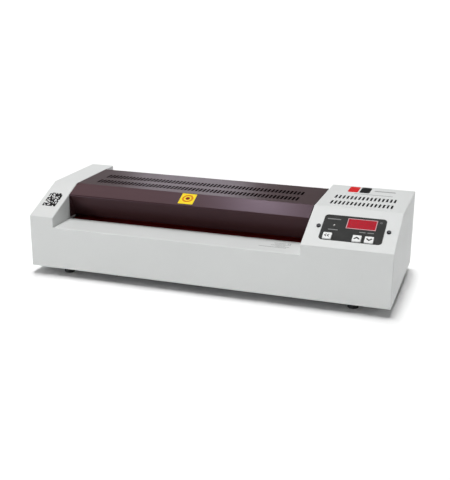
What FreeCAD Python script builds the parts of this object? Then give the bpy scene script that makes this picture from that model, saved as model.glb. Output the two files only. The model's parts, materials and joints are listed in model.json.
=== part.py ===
import FreeCAD, Part
import math
import os
from FreeCAD import Vector

# Pouch laminator for A3 pouches: a sheet-metal case with a feed shelf in front, a raised
# cheek at each end, a dark centre cover over four geared rollers, and the controls on the
# sloping face of the wide right-hand cheek.
# Millimetres. +X runs to the right as seen from the front, +Y to the back, +Z up.
# The origin is on the surface that the feet stand on, under the middle of the case.
# A "depth" is measured back from the front face of the case.

os.makedirs("parts", exist_ok=True)

# ---------------------------------------------------------------- case
WIDTH = 490.0
DEPTH = 190.0
HEIGHT = 112.0
FOOT_HEIGHT = 10.0            # the gap under the case
SHEET = 1.2                   # thickness of the case sheet
EDGE_RADIUS = 1.4             # outer radius of the case's folded edges
FRONT_HEIGHT = 81.0           # where the front face of a cheek meets its slope
SLOPE_RUN = 73.5              # depth of the sloping face
SHELF_HEIGHT = 67.5
SHELF_DEPTH = 49.0
LEFT_CHEEK_WIDTH = 35.0
RIGHT_CHEEK_WIDTH = 115.0
BOTTOM_FLANGE = 10.8          # the case's lip under the base plate
FOLD = 10.0                   # other short folded flanges
PANEL_RECESS = 5.0            # the rear panel sits this far inside the case's back edge

FRONT = -DEPTH / 2
BACK = DEPTH / 2
LEFT = -WIDTH / 2
RIGHT = WIDTH / 2
NOTCH_LEFT = LEFT + LEFT_CHEEK_WIDTH
NOTCH_RIGHT = RIGHT - RIGHT_CHEEK_WIDTH
REAR_FACE = BACK - PANEL_RECESS
SLOPE_ANGLE = math.degrees(math.atan2(HEIGHT - FRONT_HEIGHT, SLOPE_RUN))
CASE_FLOOR = FOOT_HEIGHT + SHEET
BASE_SHEET = 1.5
BASE_TOP = CASE_FLOOR + BASE_SHEET

# the opening in each cheek's inner wall that the roller frame reaches through
WINDOW_DEPTHS = (63.0, 157.0)
WINDOW_TOP = 104.0

# ---------------------------------------------------------------- vents
VENT_PITCH = 5.22
VENT_LENGTH = 17.5
CHEEK_VENTS = 16
CHEEK_VENT_START = 148.0
CHEEK_VENT_WIDTH = 2.7
CHEEK_VENT_DEPTHS = (97.4, 127.2)
COVER_VENTS = 56
COVER_VENT_START = -185.0
COVER_VENT_WIDTH = 3.2
COVER_VENT_DEPTHS = (96.0, 126.0)
REAR_VENTS = 26
REAR_VENT_PITCH = 10.0
REAR_VENT_WIDTH = 3.0
REAR_VENT_LENGTH = 18.0
REAR_VENT_HEIGHT = 38.0
BASE_VENTS = 14
BASE_VENT_PITCH = 12.0
BASE_VENT_MIDDLE = -40.0      # the base plate's slots leave room for the drive on the right
BASE_VENT_ROWS = (-30.0, 10.0, 50.0)
BASE_VENT_WIDTH = 3.0
BASE_VENT_LENGTH = 22.0

# ---------------------------------------------------------------- rollers and gears
ROLLER_RADIUS = 14.85
CORE_RADIUS = 6.0
JOURNAL_RADIUS = 4.0
JOURNAL_CLEARANCE = 0.05
GEAR_MODULE = 1.5
ROLLER_TEETH = 20
IDLER_TEETH = 18
PINION_TEETH = 14
PRESSURE_ANGLE = math.radians(20)
BACKLASH = 0.25
ADDENDUM = 0.9 * GEAR_MODULE
DEDENDUM = 1.15 * GEAR_MODULE
NIP_HEIGHT = 67.0             # the level at which a pouch runs between the rollers
FRONT_ROLLER_DEPTH = 84.0
REAR_ROLLER_DEPTH = 128.0
NIP_TRAVEL = 1.2              # how far an upper roller lifts for a thick pouch
FEED_LEVEL = 65.3             # the red tray's surface in front of the rollers
EXIT_LEVEL = 66.3             # the exit tray's surface behind them
GUIDE_CLEARANCE = 1.0         # from either tray to the cheeks' inner walls
SLEEVE_ENDS = (-205.5, 125.5)
CORE_ENDS = (-206.5, 126.5)
SHAFT_ENDS = (-223.0, 153.0)
GEAR_FACE = (143.0, 151.0)

FRAME_SHEET = 2.0
FRAME_GAP = 3.0               # from a cheek's inner wall line out to the roller frame
FRAME_DEPTHS = (64.0, 150.0)
FRAME_TOP = 105.0
FRAME_FLANGE = 12.0
FRAME_TOP_FLANGE = 9.5
FRAME_SCREW_DEPTHS = (76.0, 138.0)
BLOCK_HALF_WIDTH = 8.0
BLOCK_BOTTOM = 74.0
BLOCK_TOP = 93.0
BLOCK_SLACK = 0.15
BLOCK_REACH = 8.2             # from the frame plate's inner face to the block's outer end
BLOCK_LIP = 2.2               # the block's flange inside the frame plate
SPRING_SEAT = 5.2             # the nip springs stand this far out from that face
SPRING_RADIUS = 2.4
SPRING_WIRE = 0.4
SPRING_TURNS = 6
BUSH_RADIUS = 7.0
BUSH_LENGTH = 6.0
BUSH_LIP = 1.5

ROLLER_Y = {"front": FRONT + FRONT_ROLLER_DEPTH, "rear": FRONT + REAR_ROLLER_DEPTH}
LOWER_Z = NIP_HEIGHT - GEAR_MODULE * ROLLER_TEETH / 2
UPPER_Z = NIP_HEIGHT + GEAR_MODULE * ROLLER_TEETH / 2
IDLER_REACH = GEAR_MODULE * (ROLLER_TEETH + IDLER_TEETH) / 2
HALF_SPACING = (REAR_ROLLER_DEPTH - FRONT_ROLLER_DEPTH) / 2
IDLER_Y = ROLLER_Y["front"] + HALF_SPACING
IDLER_Z = LOWER_Z - math.sqrt(IDLER_REACH ** 2 - HALF_SPACING ** 2)
MOTOR_Y = ROLLER_Y["rear"] + GEAR_MODULE * (ROLLER_TEETH + PINION_TEETH) / 2
MOTOR_Z = LOWER_Z

# ---------------------------------------------------------------- drive
STUD_RADIUS = 4.0             # the stud that the idler gear turns on
STUD_COLLAR = 4.9
MOTOR_PLATE_X = 155.0         # the motor bracket's face on the gears' side
MOTOR_RADIUS = 29.5
MOTOR_SPAN = (157.0, 204.0)
MOTOR_SHAFT_RADIUS = 3.5
GEARBOX_LENGTH = 20.0
EAR_RADIUS = 5.0
EAR_THICKNESS = 2.0
BRACKET_FRONT = 30.0          # the bracket's edges, measured from the motor's axis
BRACKET_BACK = 29.5
BRACKET_FOOT_BACK = 17.0
BRACKET_RISE = 34.0
BRACKET_FOOT = 16.0

# ---------------------------------------------------------------- heaters and guide bars
SHOE_INNER = 17.2
SHOE_OUTER = 19.7
SHOE_HALF_ANGLE = 65.0
SHOE_BOSS_ANGLE = 50.0
SHOE_BOSS_RADIUS = 2.8
ELEMENT_HALF_ANGLE = 36.0
ELEMENT_THICKNESS = 1.2
ELEMENT_ENDS = (-195.0, 115.0)
CUTOUT_PLACES = (-70.0, -20.0)
CUTOUT_RADIUS = 8.0
CUTOUT_RISE = 4.8             # above the heating element
TAP_DEPTH = 12.0
BAR_HALF_WIDTH = 12.0
BAR_HALF_WEB = 4.0
BAR_GAP = 0.8                 # from the nip level to a guide bar's face
BAR_THICKNESS = 1.2
BAR_DEPTH = 12.0
BAR_SCREW_OFFSET = 7.0

# ---------------------------------------------------------------- cover
COVER_ENDS = (NOTCH_LEFT + 0.5, NOTCH_RIGHT - 0.5)
COVER_SLOPE_START = 47.5      # depth of the crease above the feed slot
COVER_MOUTH = (62.0, 69.6)    # depth and height of the slanted front's lower edge
COVER_END_BOTTOM = 70.2       # the lower edge of the end plates beside the feed slot
COVER_END_LAP = 2.0           # how far they run on behind the slanted front's edge
COVER_FLAT_END = 165.0
COVER_BACK = (183.0, 82.0)
COVER_SKIRT = 75.0
COVER_SCREWS = ((59.5, 90.0), (168.0, 95.0))

# ---------------------------------------------------------------- control panel
# Across the panel these are X, and along it they are distances up the slope.
OVERLAY_X = (149.0, 227.0)
OVERLAY_S = (14.0, 63.0)
OVERLAY_THICKNESS = 0.5
DISPLAY_X = (178.7, 216.0)
DISPLAY_S = (38.6, 58.6)
BEZEL_WIDTH = 0.8
BEZEL_RISE = 1.0
WINDOW_RISE = 0.7
BUTTON_CENTRES = {"reverse": (159.4, 20.5), "up": (196.0, 20.4), "down": (211.1, 20.1)}
BUTTON_SIZE = (10.8, 11.4)
BUTTON_GAP = 0.3
BUTTON_RISE = 1.6
STEM_END = -8.0               # the keys' stems end here, below the case's outer face
SWITCH_RISE = 3.4             # a tact switch's body above the board
LED_CENTRE = (164.0, 42.0)
LED_RADIUS = 1.5
PANEL_SCREWS = ((144.8, 39.0), (232.2, 39.0))
BOARD_X = (140.0, 237.0)
BOARD_S = (10.0, 70.0)
BOARD_LEVEL = -13.0           # the board's upper face, below the case's outer face
BOARD_THICKNESS = 1.6

# ---------------------------------------------------------------- power
INLET_CENTRE = (226.0, 40.0)
INLET_SIZE = (20.0, 27.0)
INLET_FLANGE = (24.0, 50.0)
INLET_CAVITY = (16.2, 24.2)
INLET_CAVITY_DEPTH = 17.0
INLET_BODY_DEPTH = 24.0
INLET_PINS = ((2.5, -7.0), (2.5, 7.0), (-2.0, 0.0))
INLET_PIN_SIZE = (1.8, 4.0)
INLET_PIN_SPAN = (1.5, 31.0)  # the pins' ends, measured in from the back panel
SWITCH_CENTRE = (226.0, 84.0)
SWITCH_SIZE = (13.0, 18.8)
SWITCH_FLANGE = (15.0, 21.0)
SWITCH_CAVITY = (10.8, 17.4)
SWITCH_BODY_DEPTH = 14.0
SWITCH_BLADE_DEPTH = 21.0
SWITCH_BLADE_OFFSET = 5.0
ROCKER_WIDTH = 10.2
ROCKER_PIN_RADIUS = 1.2
ROCKER_TILT = 8.0
TRANSFORMER = (190.0, -52.0)
TRANSFORMER_CORE = (42.0, 18.0, 35.0)
TRANSFORMER_COIL = (26.0, 32.0)
TRANSFORMER_SCREW_REACH = 29.0
LEAD_RADIUS = 1.2

# ---------------------------------------------------------------- fasteners and feet
SCREW_RADIUS = 1.5
SCREW_HOLE = 1.6
HEAD_RADIUS = 2.8
HEAD_HEIGHT = 2.0
FOOT_RADIUS = 8.0
FOOT_LEFT = -198.5
FOOT_RIGHT = 196.0
FOOT_INSET = 20.0             # from the case's front and back edges to the feet's centres
FOOT_POCKET_RADIUS = 4.2
FOOT_POCKET = 5.0             # how deep the foot's screw is sunk


# ================================================================ helpers
def depth(distance):
    """The Y of a point this far behind the front face."""
    return FRONT + distance


def box(x0, x1, y0, y1, z0, z1):
    low = Vector(min(x0, x1), min(y0, y1), min(z0, z1))
    return Part.makeBox(abs(x1 - x0), abs(y1 - y0), abs(z1 - z0), low)


def centred_box(x, z, size, y0, y1):
    """A box from y0 to y1 whose width and height are centred on (x, z)."""
    half_width, half_height = size[0] / 2, size[1] / 2
    return box(x - half_width, x + half_width, y0, y1, z - half_height, z + half_height)


def rod(x0, x1, y, z, radius):
    """A cylinder along X."""
    return Part.makeCylinder(radius, abs(x1 - x0), Vector(min(x0, x1), y, z), Vector(1, 0, 0))


def fuse(shapes):
    return shapes[0].multiFuse(shapes[1:]).removeSplitter() if len(shapes) > 1 else shapes[0]


def cut(shape, tools):
    return shape.cut(Part.makeCompound(tools)) if tools else shape


def rounded_wire(points, radii):
    """A closed wire through 3-D points, with each corner rounded by its own radius."""
    edges = []
    count = len(points)
    starts = []
    ends = []
    middles = []
    for i, point in enumerate(points):
        back = (points[i - 1] - point).normalize()
        ahead = (points[(i + 1) % count] - point).normalize()
        half = back.getAngle(ahead) / 2
        if radii[i] <= 0 or abs(half - math.pi / 2) < 1e-6:
            starts.append(point)
            ends.append(point)
            middles.append(None)
            continue
        reach = radii[i] / math.tan(half)
        bisector = (back + ahead).normalize()
        centre = point + bisector * (radii[i] / math.sin(half))
        starts.append(point + back * reach)
        ends.append(point + ahead * reach)
        middles.append(centre - bisector * radii[i])
    for i in range(count):
        if middles[i] is not None:
            edges.append(Part.Arc(starts[i], middles[i], ends[i]).toShape())
        following = starts[(i + 1) % count]
        if ends[i].distanceToPoint(following) > 1e-7:
            edges.append(Part.LineSegment(ends[i], following).toShape())
    return Part.Wire(edges)


def prism_x(outline, x0, x1, radii=None):
    """Extrudes a (y, z) outline along X."""
    points = [Vector(x0, y, z) for y, z in outline]
    wire = rounded_wire(points, radii or [0] * len(points))
    return Part.Face(wire).extrude(Vector(x1 - x0, 0, 0))


def plate_z(x0, x1, y0, y1, z0, z1, radius):
    """A flat rectangular block with rounded corners, standing along Z."""
    corners = [Vector(x0, y0, z0), Vector(x1, y0, z0), Vector(x1, y1, z0), Vector(x0, y1, z0)]
    return Part.Face(rounded_wire(corners, [radius] * 4)).extrude(Vector(0, 0, z1 - z0))


def slot_z(x, y, width, length, z0, z1):
    """A round-ended slot along Y, cut along Z."""
    half_width, half_length = width / 2, length / 2
    return plate_z(x - half_width, x + half_width, y - half_length, y + half_length, z0, z1,
                   half_width - 0.01)


def folded_sheet(path, thickness, x0, x1, bend=0.8):
    """A sheet folded along a (depth, height) path, its thickness to the left of the path."""
    points = [Vector(depth(d), z, 0) for d, z in path]
    runs = [(b - a).normalize() for a, b in zip(points, points[1:])]
    lefts = [Vector(-run.y, run.x, 0) for run in runs]
    inner = [points[0] + lefts[0] * thickness]
    near_radii = [0]
    far_radii = [0]
    for i in range(1, len(points) - 1):
        mitre = lefts[i - 1] + lefts[i]
        inner.append(points[i] + mitre * (2 * thickness / mitre.Length ** 2))
        turns_left = runs[i - 1].x * runs[i].y - runs[i - 1].y * runs[i].x > 0
        near_radii.append(bend + thickness if turns_left else bend)
        far_radii.append(bend if turns_left else bend + thickness)
    inner.append(points[-1] + lefts[-1] * thickness)
    near_radii.append(0)
    far_radii.append(0)
    loop = points + inner[::-1]
    outline = [(p.x, p.y) for p in loop]
    return prism_x(outline, x0, x1, near_radii + far_radii[::-1])


def on_slope(shape):
    """Moves a shape drawn as (X, distance up the slope, height above it) onto the slope."""
    placed = shape.copy()
    placed.rotate(Vector(0, 0, 0), Vector(1, 0, 0), SLOPE_ANGLE)
    placed.translate(Vector(0, FRONT, FRONT_HEIGHT))
    return placed


def screw(place, direction, length):
    """A pan-head screw: place is under its head, direction is the way its shank points."""
    shank = Part.makeCylinder(SCREW_RADIUS, length, place, direction)
    head = Part.makeCylinder(HEAD_RADIUS, HEAD_HEIGHT, place, direction * -1)
    crown = [e for e in head.Edges if abs((e.CenterOfMass - place).Length - HEAD_HEIGHT) < 0.01]
    head = head.makeFillet(0.9, crown[:1])
    half_bit = Vector(1.6, 0.35, 0.6)
    recess = [
        Part.makeBox(2 * a, 2 * b, 2 * half_bit.z, Vector(-a, -b, -half_bit.z))
        for a, b in ((half_bit.x, half_bit.y), (half_bit.y, half_bit.x))
    ]
    turn = FreeCAD.Rotation(Vector(0, 0, 1), direction)
    for bar in recess:
        bar.Placement = FreeCAD.Placement(place - direction * HEAD_HEIGHT, turn)
    return cut(fuse([shank, head]), recess)


def hole(place, direction, length, radius=SCREW_HOLE):
    """A cutter for a hole that starts a little before place."""
    return Part.makeCylinder(radius, length + 2, place - direction, direction)


def save(name, *solids):
    shape = solids[0] if len(solids) == 1 else Part.makeCompound(list(solids))
    for solid in shape.Solids:
        assert solid.isValid(), name
    shape.exportStep(f"parts/{name}.step")


UP = Vector(0, 0, 1)
INWARD = Vector(0, -1, 0)     # from the back panel into the case


# ================================================================ case
def cheek_outline(inset):
    """The side profile of a cheek, drawn inset from the outside of the case."""
    rise = math.radians(SLOPE_ANGLE)
    crease = FRONT_HEIGHT - inset * math.tan(rise / 2)
    crest = depth(SLOPE_RUN) + inset * math.tan(rise / 2)
    bottom = CASE_FLOOR if inset else FOOT_HEIGHT
    back = BACK + 1 if inset else BACK
    return [(FRONT + inset, bottom), (FRONT + inset, crease), (crest, HEIGHT - inset),
            (back, HEIGHT - inset), (back, bottom)]


def rounded_block(outline, x0, x1, round_faces):
    """An extruded outline whose long edges, and the rims at the given X, are rounded."""
    block = prism_x(outline, x0, x1)
    edges = []
    for edge in block.Edges:
        ends = [v.Point for v in edge.Vertexes]
        middle = edge.CenterOfMass
        along_x = abs(ends[0].x - ends[1].x) > 1
        if middle.y > BACK - 0.1 or (not along_x and middle.z < FOOT_HEIGHT + 0.1):
            continue
        if along_x or any(abs(middle.x - x) < 0.1 for x in round_faces):
            edges.append(edge)
    return block.makeFillet(EDGE_RADIUS, edges)


def bottom_screw_places():
    """Where the case's bottom flange is screwed up to the base plate."""
    return [Vector(x, y, FOOT_HEIGHT) for x in (LEFT + 6, RIGHT - 6) for y in (-40, 55)] + [
        Vector(x, FRONT + 7.2, FOOT_HEIGHT) for x in (-120, 0, 120)]


def cover_screw_places():
    """Each is the inner wall's hidden face, and the way its screw points."""
    places = []
    for d, z in COVER_SCREWS:
        places.append((Vector(NOTCH_LEFT - SHEET, depth(d), z), Vector(1, 0, 0)))
        places.append((Vector(NOTCH_RIGHT + SHEET, depth(d), z), Vector(-1, 0, 0)))
    return places


def rear_screw_places():
    return [Vector(x, REAR_FACE, HEIGHT - SHEET - FOLD / 2)
            for x in (LEFT + 12, LEFT + 28, NOTCH_RIGHT + 10, RIGHT - 40)]


def vent_slots(start, count, depths, width):
    return [slot_z(start + i * VENT_PITCH, depth(d), width, VENT_LENGTH, HEIGHT - 4, HEIGHT + 2)
            for d in depths for i in range(count)]


def panel_holes():
    """The holes that the controls need in the sloping face."""
    x0, x1 = DISPLAY_X
    s0, s1 = DISPLAY_S
    tools = [box(x0, x1, s0, s1, -5, 5)]
    for x, s in BUTTON_CENTRES.values():
        half_x = BUTTON_SIZE[0] / 2 + BUTTON_GAP
        half_s = BUTTON_SIZE[1] / 2 + BUTTON_GAP
        tools.append(plate_z(x - half_x, x + half_x, s - half_s, s + half_s, -5, 5, 1.2))
    tools.append(Part.makeCylinder(LED_RADIUS + 0.1, 10, Vector(*LED_CENTRE, -5)))
    return tools


def main_housing():
    left = rounded_block(cheek_outline(0), LEFT, NOTCH_LEFT, (LEFT, NOTCH_LEFT))
    right = rounded_block(cheek_outline(0), NOTCH_RIGHT, RIGHT, (NOTCH_RIGHT, RIGHT))
    low_outline = [(FRONT, FOOT_HEIGHT), (FRONT, SHELF_HEIGHT), (BACK, SHELF_HEIGHT), (BACK, FOOT_HEIGHT)]
    overlap = EDGE_RADIUS + 0.6
    middle = rounded_block(low_outline, NOTCH_LEFT - overlap, NOTCH_RIGHT + overlap, ())
    shell = fuse([left, right, middle])
    hollow = [
        prism_x(cheek_outline(SHEET), LEFT + SHEET, NOTCH_LEFT - SHEET),
        prism_x(cheek_outline(SHEET), NOTCH_RIGHT + SHEET, RIGHT - SHEET),
        box(LEFT + SHEET, RIGHT - SHEET, FRONT + SHEET, BACK + 1, CASE_FLOOR, SHELF_HEIGHT - SHEET),
        box(LEFT + BOTTOM_FLANGE, RIGHT - BOTTOM_FLANGE, FRONT + BOTTOM_FLANGE, BACK + 1,
            FOOT_HEIGHT - 1, CASE_FLOOR + 1),
        box(NOTCH_LEFT, NOTCH_RIGHT, depth(SHELF_DEPTH), BACK + 1, SHELF_HEIGHT - 10, SHELF_HEIGHT + 1),
    ]
    for x in (NOTCH_LEFT, NOTCH_RIGHT):
        hollow.append(box(x - 3, x + 3, depth(WINDOW_DEPTHS[0]), depth(WINDOW_DEPTHS[1]),
                          SHELF_HEIGHT - 5, WINDOW_TOP))
    hollow += vent_slots(CHEEK_VENT_START, CHEEK_VENTS, CHEEK_VENT_DEPTHS, CHEEK_VENT_WIDTH)
    hollow += [on_slope(tool) for tool in panel_holes()]
    hollow += [on_slope(Part.makeCylinder(SCREW_HOLE, 10, Vector(x, s, -5))) for x, s in PANEL_SCREWS]
    hollow += [hole(place, UP, SHEET) for place in bottom_screw_places()]
    hollow += [hole(place, way, SHEET) for place, way in cover_screw_places()]
    shell = cut(shell, hollow)
    panel_inside = REAR_FACE - SHEET
    folds = [
        box(NOTCH_LEFT, NOTCH_RIGHT, depth(SHELF_DEPTH - SHEET), depth(SHELF_DEPTH),
            SHELF_HEIGHT - FOLD, SHELF_HEIGHT - SHEET),
        box(LEFT + SHEET, NOTCH_LEFT - SHEET, panel_inside - SHEET, panel_inside,
            HEIGHT - SHEET - FOLD, HEIGHT - SHEET),
        box(NOTCH_RIGHT + SHEET, RIGHT - SHEET, panel_inside - SHEET, panel_inside,
            HEIGHT - SHEET - FOLD, HEIGHT - SHEET),
    ]
    shell = fuse([shell] + folds)
    return cut(shell, [hole(place, INWARD, 2 * SHEET) for place in rear_screw_places()])


def foot_places():
    return {
        "foot_front_left": (FOOT_LEFT, FRONT + FOOT_INSET),
        "foot_front_right": (FOOT_RIGHT, FRONT + FOOT_INSET),
        "foot_rear_left": (FOOT_LEFT, BACK - FOOT_INSET),
        "foot_rear_right": (FOOT_RIGHT, BACK - FOOT_INSET),
    }


def foot(x, y):
    """A tapered rubber foot with a pocket for its screw."""
    cone = Part.makeCone(FOOT_RADIUS - 1, FOOT_RADIUS, CASE_FLOOR, Vector(x, y, 0))
    rims = [e for e in cone.Edges if e.CenterOfMass.z < 0.1 and e.Length > 30]
    cone = cone.makeFillet(0.8, rims[:1])
    pocket = Part.makeCylinder(FOOT_POCKET_RADIUS, FOOT_POCKET, Vector(x, y, 0))
    bore = Part.makeCylinder(SCREW_HOLE, 20, Vector(x, y, 0))
    return cone.cut(pocket).cut(bore)


def frame_flange_screws():
    """Where the roller frames are screwed up through the base plate."""
    places = []
    for x in (frame_x("left")[0] - 7, frame_x("right")[1] + 7):
        places += [Vector(x, depth(d), CASE_FLOOR) for d in FRAME_SCREW_DEPTHS]
    return places


def bracket_screws():
    x = MOTOR_PLATE_X + FRAME_SHEET + BRACKET_FOOT / 2
    return [Vector(x, MOTOR_Y + offset, CASE_FLOOR) for offset in (-22, 10)]


def transformer_screws():
    x, y = TRANSFORMER
    return [Vector(x + side * TRANSFORMER_SCREW_REACH, y, CASE_FLOOR) for side in (-1, 1)]


def rear_flange_screws():
    return [Vector(x, REAR_FACE - SHEET - 6, CASE_FLOOR) for x in (-220, -70, 70, 160)]


def base_plate():
    plate = box(LEFT + SHEET + 0.2, RIGHT - SHEET - 0.2, FRONT + SHEET + 0.2, REAR_FACE - SHEET,
                CASE_FLOOR, BASE_TOP)
    tools = [hole(place, UP, 3) for place in bottom_screw_places() + frame_flange_screws()]
    tools += [hole(place, UP, 3) for place in bracket_screws() + transformer_screws()]
    tools += [hole(place, UP, 3) for place in rear_flange_screws()]
    tools += [hole(Vector(x, y, CASE_FLOOR), UP, 3) for x, y in foot_places().values()]
    first = BASE_VENT_MIDDLE - (BASE_VENTS - 1) * BASE_VENT_PITCH / 2
    for row in BASE_VENT_ROWS:
        for i in range(BASE_VENTS):
            tools.append(slot_z(first + i * BASE_VENT_PITCH, row, BASE_VENT_WIDTH, BASE_VENT_LENGTH,
                                CASE_FLOOR - 1, BASE_TOP + 1))
    return cut(plate, tools)


def rear_panel():
    """The back wall: low behind the exit slot, and up to the roof behind each cheek."""
    gap = 0.2
    sheet = fuse([
        box(LEFT + SHEET + gap, RIGHT - SHEET - gap, REAR_FACE - SHEET, REAR_FACE,
            BASE_TOP, SHELF_HEIGHT - 3.6),
        box(LEFT + SHEET + gap, NOTCH_LEFT - SHEET - gap, REAR_FACE - SHEET, REAR_FACE,
            BASE_TOP, HEIGHT - SHEET - gap),
        box(NOTCH_RIGHT + SHEET + gap, RIGHT - SHEET - gap, REAR_FACE - SHEET, REAR_FACE,
            BASE_TOP, HEIGHT - SHEET - gap),
        box(LEFT + SHEET + gap, RIGHT - SHEET - gap, REAR_FACE - SHEET - 12, REAR_FACE,
            BASE_TOP, BASE_TOP + SHEET),
    ])
    tools = [centred_box(*centre, [side + 2 * gap for side in size], REAR_FACE - 10, REAR_FACE + 5)
             for centre, size in ((INLET_CENTRE, INLET_SIZE), (SWITCH_CENTRE, SWITCH_SIZE))]
    tools += [hole(place, INWARD, 4) for place in rear_screw_places() + inlet_screws()]
    tools += [hole(place, UP, 5) for place in rear_flange_screws()]
    first = (NOTCH_LEFT + NOTCH_RIGHT) / 2 - (REAR_VENTS - 1) * REAR_VENT_PITCH / 2
    for i in range(REAR_VENTS):
        slit = slot_z(0, 0, REAR_VENT_WIDTH, REAR_VENT_LENGTH, -3, 3)
        slit.rotate(Vector(0, 0, 0), Vector(1, 0, 0), 90)
        slit.translate(Vector(first + i * REAR_VENT_PITCH, REAR_FACE, REAR_VENT_HEIGHT))
        tools.append(slit)
    return cut(sheet, tools)


def cover_path():
    """The cover's outer line, from its rear skirt over the top to its slanted front's edge."""
    rise = math.tan(math.radians(SLOPE_ANGLE))
    crease = FRONT_HEIGHT + COVER_SLOPE_START * rise
    return [(COVER_BACK[0], COVER_SKIRT), COVER_BACK, (COVER_FLAT_END, HEIGHT), (SLOPE_RUN, HEIGHT),
            (COVER_SLOPE_START, crease), COVER_MOUTH]


def cover_end_outline():
    """The outline of an end plate, whose front edge stands ahead of the slanted front."""
    upper = [(depth(d), z) for d, z in cover_path()[:5]]
    crease_height = upper[-1][1]
    front_edge = depth(COVER_SLOPE_START + 0.2)
    lap_end = depth(COVER_MOUTH[0] + COVER_END_LAP)
    return upper + [(front_edge, crease_height - 1.0), (front_edge, COVER_END_BOTTOM),
                    (lap_end, COVER_END_BOTTOM), (lap_end, COVER_SKIRT)]


def top_cover():
    x0, x1 = COVER_ENDS
    sheet = folded_sheet(cover_path(), SHEET, x0, x1)
    outline = cover_end_outline()
    ends = [prism_x(outline, x0, x0 + SHEET), prism_x(outline, x1 - SHEET, x1)]
    opening = box(x0 - 1, x1 + 1, depth(WINDOW_DEPTHS[0]), depth(WINDOW_DEPTHS[1]), 60, WINDOW_TOP)
    ends = [end.cut(opening) for end in ends]
    shell = fuse([sheet] + ends)
    tools = vent_slots(COVER_VENT_START, COVER_VENTS, COVER_VENT_DEPTHS, COVER_VENT_WIDTH)
    tools += [hole(place, way, 2 + 2 * SHEET) for place, way in cover_screw_places()]
    return cut(shell, tools)


def feed_guide():
    """The dark red tray that leads a pouch from the shelf to the front rollers."""
    front = SHELF_DEPTH + 1.0
    path = [(74.0, FEED_LEVEL + 0.6), (66.0, FEED_LEVEL), (front, FEED_LEVEL), (front, SHELF_HEIGHT - FOLD)]
    return folded_sheet(path, 1.0, NOTCH_LEFT + GUIDE_CLEARANCE, NOTCH_RIGHT - GUIDE_CLEARANCE, bend=0.5)


def exit_guide():
    """The tray behind the rear rollers, folded down over the rear panel."""
    outside = DEPTH - PANEL_RECESS + SHEET
    path = [(outside, EXIT_LEVEL - 10.8), (outside, EXIT_LEVEL),
            (150.0, EXIT_LEVEL), (145.5, EXIT_LEVEL - 1.7)]
    return folded_sheet(path, SHEET, NOTCH_LEFT + GUIDE_CLEARANCE, NOTCH_RIGHT - GUIDE_CLEARANCE)


# ================================================================ roller frame
def frame_x(side):
    """The inner-to-outer span of a roller frame plate, low X first."""
    if side == "left":
        return (NOTCH_LEFT - FRAME_GAP - FRAME_SHEET, NOTCH_LEFT - FRAME_GAP)
    return (NOTCH_RIGHT + FRAME_GAP, NOTCH_RIGHT + FRAME_GAP + FRAME_SHEET)


def outward(side):
    return -1 if side == "left" else 1


def shoe_boss_places():
    """Where the heater shoes' screw bosses are, as (y, z)."""
    reach = SHOE_OUTER + 0.8
    across = reach * math.sin(math.radians(SHOE_BOSS_ANGLE))
    rise = reach * math.cos(math.radians(SHOE_BOSS_ANGLE))
    return [(ROLLER_Y["front"] + side * across, centre + sign * rise)
            for sign, centre in ((1, UPPER_Z), (-1, LOWER_Z)) for side in (-1, 1)]


def bar_screw_places():
    middle = ROLLER_Y["front"] + HALF_SPACING
    return [(middle, NIP_HEIGHT - BAR_SCREW_OFFSET), (middle, NIP_HEIGHT + BAR_SCREW_OFFSET)]


def side_frame(side):
    x0, x1 = frame_x(side)
    way = outward(side)
    outer = x0 if way < 0 else x1
    y0, y1 = (depth(d) for d in FRAME_DEPTHS)
    plate = [
        box(x0, x1, y0, y1, BASE_TOP, FRAME_TOP),
        box(outer, outer + way * FRAME_FLANGE, y0, y1, BASE_TOP, BASE_TOP + FRAME_SHEET),
        box(outer, outer + way * FRAME_TOP_FLANGE, ROLLER_Y["front"] - 11, ROLLER_Y["rear"] + 11,
            FRAME_TOP - FRAME_SHEET, FRAME_TOP),
    ]
    half = BLOCK_HALF_WIDTH + BLOCK_SLACK
    tools = []
    for y in ROLLER_Y.values():
        tools.append(rod(x0 - 1, x1 + 1, y, LOWER_Z, BUSH_RADIUS))
        tools.append(box(x0 - 1, x1 + 1, y - half, y + half,
                         BLOCK_BOTTOM - BLOCK_SLACK, BLOCK_TOP + NIP_TRAVEL + 1.5))
    tools += [rod(x0 - 1, x1 + 1, y, z, SCREW_HOLE) for y, z in shoe_boss_places() + bar_screw_places()]
    tools += [hole(place, UP, 8) for place in frame_flange_screws()]
    if side == "right":
        tools.append(rod(x0 - 1, x1 + 1, IDLER_Y, IDLER_Z, STUD_RADIUS))
    return cut(fuse(plate), tools)


def frame_inner(side):
    """The X of a roller frame plate's face on the rollers' side."""
    x0, x1 = frame_x(side)
    return x1 if side == "left" else x0


def journal_bore(side, y, z):
    inner = frame_inner(side)
    return rod(inner - 20, inner + 20, y, z, JOURNAL_RADIUS + JOURNAL_CLEARANCE)


def bush(side, y):
    way = outward(side)
    inner = frame_inner(side)
    body = fuse([
        rod(inner, inner + way * BUSH_LENGTH, y, LOWER_Z, BUSH_RADIUS),
        rod(inner - way * BUSH_LIP, inner, y, LOWER_Z, BUSH_RADIUS + 2),
    ])
    return body.cut(journal_bore(side, y, LOWER_Z))


def bearing_block(side, y):
    """A block that slides up and down in the frame's window and carries an upper roller."""
    way = outward(side)
    plate_face = frame_inner(side)
    inner = plate_face - way * 0.1
    half = BLOCK_HALF_WIDTH
    body = fuse([
        box(inner, plate_face + way * BLOCK_REACH, y - half, y + half, BLOCK_BOTTOM, BLOCK_TOP),
        box(inner - way * BLOCK_LIP, inner, y - half - 2, y + half + 2, BLOCK_BOTTOM + 1, BLOCK_TOP - 1),
        Part.makeCylinder(SPRING_RADIUS - 0.7, 3, Vector(plate_face + way * SPRING_SEAT, y, BLOCK_TOP)),
    ])
    return body.cut(journal_bore(side, y, UPPER_Z))


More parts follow.
